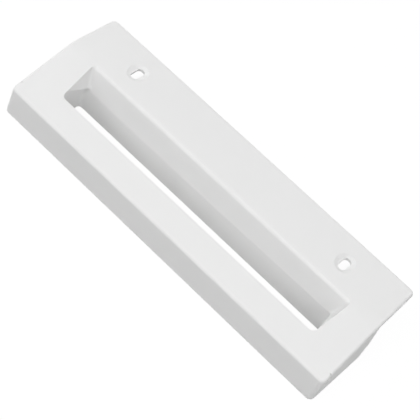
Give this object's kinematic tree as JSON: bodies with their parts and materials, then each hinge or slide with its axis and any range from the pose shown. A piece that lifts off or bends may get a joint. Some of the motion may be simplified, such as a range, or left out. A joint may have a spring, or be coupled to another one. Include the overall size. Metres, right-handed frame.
{
  "type": "refrigerator door handle",
  "caption": "White moulded refrigerator door handle: a flange with screw slots for the door's edge, and a sloping grip with a long finger slot behind its front bar.",
  "frame": {"origin": "on the back face of the flange, midway between the two screw slots", "axes": "+X along the handle, +Y towards the flange's free edge and the door, +Z out of the flange's visible face; the grip's front faces -Y"},
  "size_m": [0.2224, 0.0746, 0.0309],
  "materials": {
    "white_abs": "moulded white ABS, satin gloss, no texture"
  },
  "bodies": {
    "root": {"handle_body": "white_abs"}
  },
  "joints": []
}
